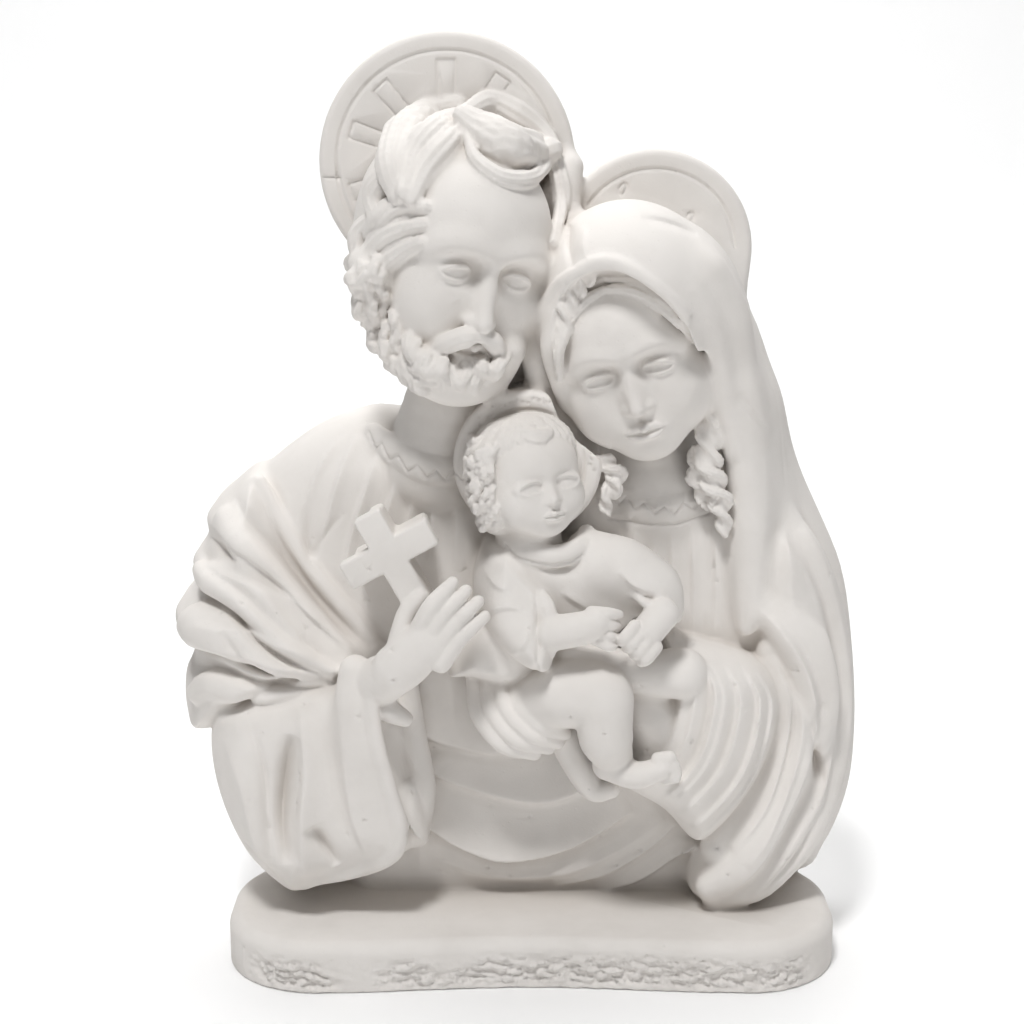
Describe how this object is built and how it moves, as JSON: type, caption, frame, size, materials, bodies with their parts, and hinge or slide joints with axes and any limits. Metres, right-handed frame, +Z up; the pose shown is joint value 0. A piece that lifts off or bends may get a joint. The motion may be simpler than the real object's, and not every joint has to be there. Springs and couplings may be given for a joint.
{
  "type": "holy family statue",
  "caption": "Unpainted plaster relief bust of a haloed bearded man, a veiled woman and a child with a small cross, cast in one piece with a low flat base; it stands on a shelf.",
  "frame": {"origin": "centre of the base's underside, at the height of the surface it stands on", "axes": "+Z up to the tallest halo; +X to the viewer's right of the front; -Y out of the front, towards the viewer; the flat back faces +Y"},
  "size_m": [0.3067, 0.1001, 0.4011],
  "materials": {
    "plaster": "matte, dry, unpainted"
  },
  "bodies": {
    "root": {"holy_family_statue": "plaster"}
  },
  "joints": []
}
